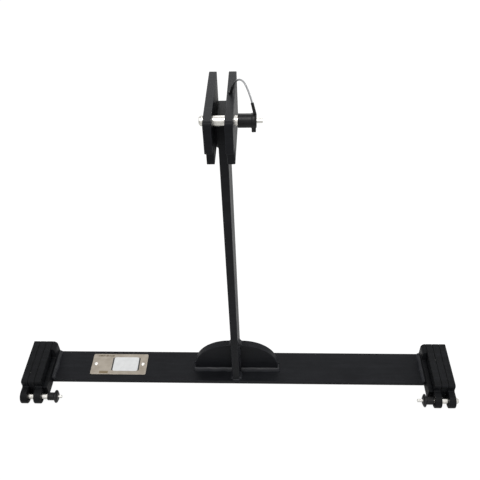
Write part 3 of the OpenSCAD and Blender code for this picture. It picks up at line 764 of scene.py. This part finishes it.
riv_low, riv_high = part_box("plate_rivets")
head_r = (riv_high.y - riv_low.y) / 2
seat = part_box("data_plate")[1].z
spots = bpy.data.meshes.new("rivet_places")
spots.from_pydata([(riv_low.x + head_r, (riv_low.y + riv_high.y) / 2, seat),
                   (riv_high.x - head_r, (riv_low.y + riv_high.y) / 2, seat)], [], [])
rivets = grown(spots, rivet_tree(head_r, riv_high.z - seat), {"Finish": rivet_aluminium}, "plate_rivet_heads")
bm = bmesh.new()
bm.from_mesh(rivets.data)
bmesh.ops.remove_doubles(bm, verts=bm.verts, dist=1e-7)
open_edges = [e for e in bm.edges if e.is_boundary]
bmesh.ops.holes_fill(bm, edges=open_edges, sides=0)
bmesh.ops.recalc_face_normals(bm, faces=bm.faces)
bm.to_mesh(rivets.data)
bm.free()
rivets.data.set_sharp_from_angle(angle=math.radians(60))
dressed(rivets, "frame", ["plate_rivets"])


# ---------- pins and lanyard ends ----------

for pin in ("top_pin", "left_pin", "right_pin"):
    rounded_copy(pin + "_shank", shank_steel, 0.12, clamp=True)
    rounded_copy(pin + "_handle", anodised, 0.5, 3)
    rounded_copy(pin + "_button", button_steel, 0.16, clamp=True)
    for ball in ("_ball_upper", "_ball_lower"):
        frame["nodes"][pin + ball].data.materials.clear()
        frame["nodes"][pin + ball].data.materials.append(button_steel)
    frame["nodes"][pin + "_spring"].data.materials.clear()
    frame["nodes"][pin + "_spring"].data.materials.append(spring_finish)
rounded_copy("lanyard_anchor", anodised, 0.3)


# ---------- floor, light and world ----------

def floor():
    bm = bmesh.new()
    bmesh.ops.create_grid(bm, x_segments=2, y_segments=2, size=6.0)
    data = bpy.data.meshes.new("studio_floor")
    bm.to_mesh(data)
    bm.free()
    ground = bpy.data.objects.new("studio_floor", data)
    scene.collection.objects.link(ground)
    material = bpy.data.materials.new("white_studio_floor")
    material.use_nodes = True
    tree = material.node_tree
    tree.nodes.remove(tree.nodes["Principled BSDF"])
    out = tree.nodes["Material Output"]
    path = add(tree, "ShaderNodeLightPath").outputs
    matt = add(tree, "ShaderNodeBsdfDiffuse", sockets={"Color": srgb("e4e4e3")}).outputs[0]
    white = add(tree, "ShaderNodeEmission", sockets={"Color": (1, 1, 1, 1), "Strength": 0.93}).outputs[0]
    faint = add(tree, "ShaderNodeBsdfDiffuse", sockets={"Color": (0.14, 0.14, 0.14, 1)}).outputs[0]
    seen = add(tree, "ShaderNodeAddShader", sockets={0: white, 1: faint}).outputs[0]
    mix = add(tree, "ShaderNodeMixShader", sockets={0: path["Is Camera Ray"], 1: matt, 2: seen}).outputs[0]
    tree.links.new(mix, out.inputs["Surface"])
    data.materials.append(material)
    ground.location = (0, 0, -0.0004)
    ground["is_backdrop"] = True


def lamp(name, place, target, width, height, power):
    data = bpy.data.lights.new(name, "AREA")
    data.shape = "RECTANGLE"
    data.size = width
    data.size_y = height
    data.energy = power
    light = bpy.data.objects.new(name, data)
    scene.collection.objects.link(light)
    aim = (Vector(target) - Vector(place)).to_track_quat("-Z", "Y")
    light.matrix_world = Matrix.Translation(place) @ aim.to_matrix().to_4x4()


floor()
lamp("rear_softbox", (0.1, 2.2, 1.25), (0, 0, 0.2), 2.6, 1.0, 14)
lamp("right_softbox", (2.0, 0.1, 1.0), (0, 0, 0.25), 1.0, 1.4, 14)
lamp("overhead_softbox", (-0.2, -0.9, 2.4), (0, 0, 0.2), 1.3, 1.3, 26)

world = bpy.data.worlds.new("studio")
scene.world = world
world.use_nodes = True
tree = world.node_tree
ambient = tree.nodes["Background"]
ambient.inputs["Color"].default_value = (1, 1, 1, 1)
ambient.inputs["Strength"].default_value = 0.45
shown = add(tree, "ShaderNodeBackground", sockets={"Color": (1, 1, 1, 1), "Strength": 1.0}).outputs[0]
path = add(tree, "ShaderNodeLightPath").outputs
direct = joined(tree, "MAXIMUM", path["Is Camera Ray"], joined(tree, "MAXIMUM", path["Is Glossy Ray"],
                                                               path["Is Transmission Ray"]))
mix = add(tree, "ShaderNodeMixShader", sockets={0: direct, 1: ambient.outputs[0], 2: shown}).outputs[0]
tree.links.new(mix, tree.nodes["World Output"].inputs["Surface"])

scene.view_settings.view_transform = "Standard"

low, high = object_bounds()
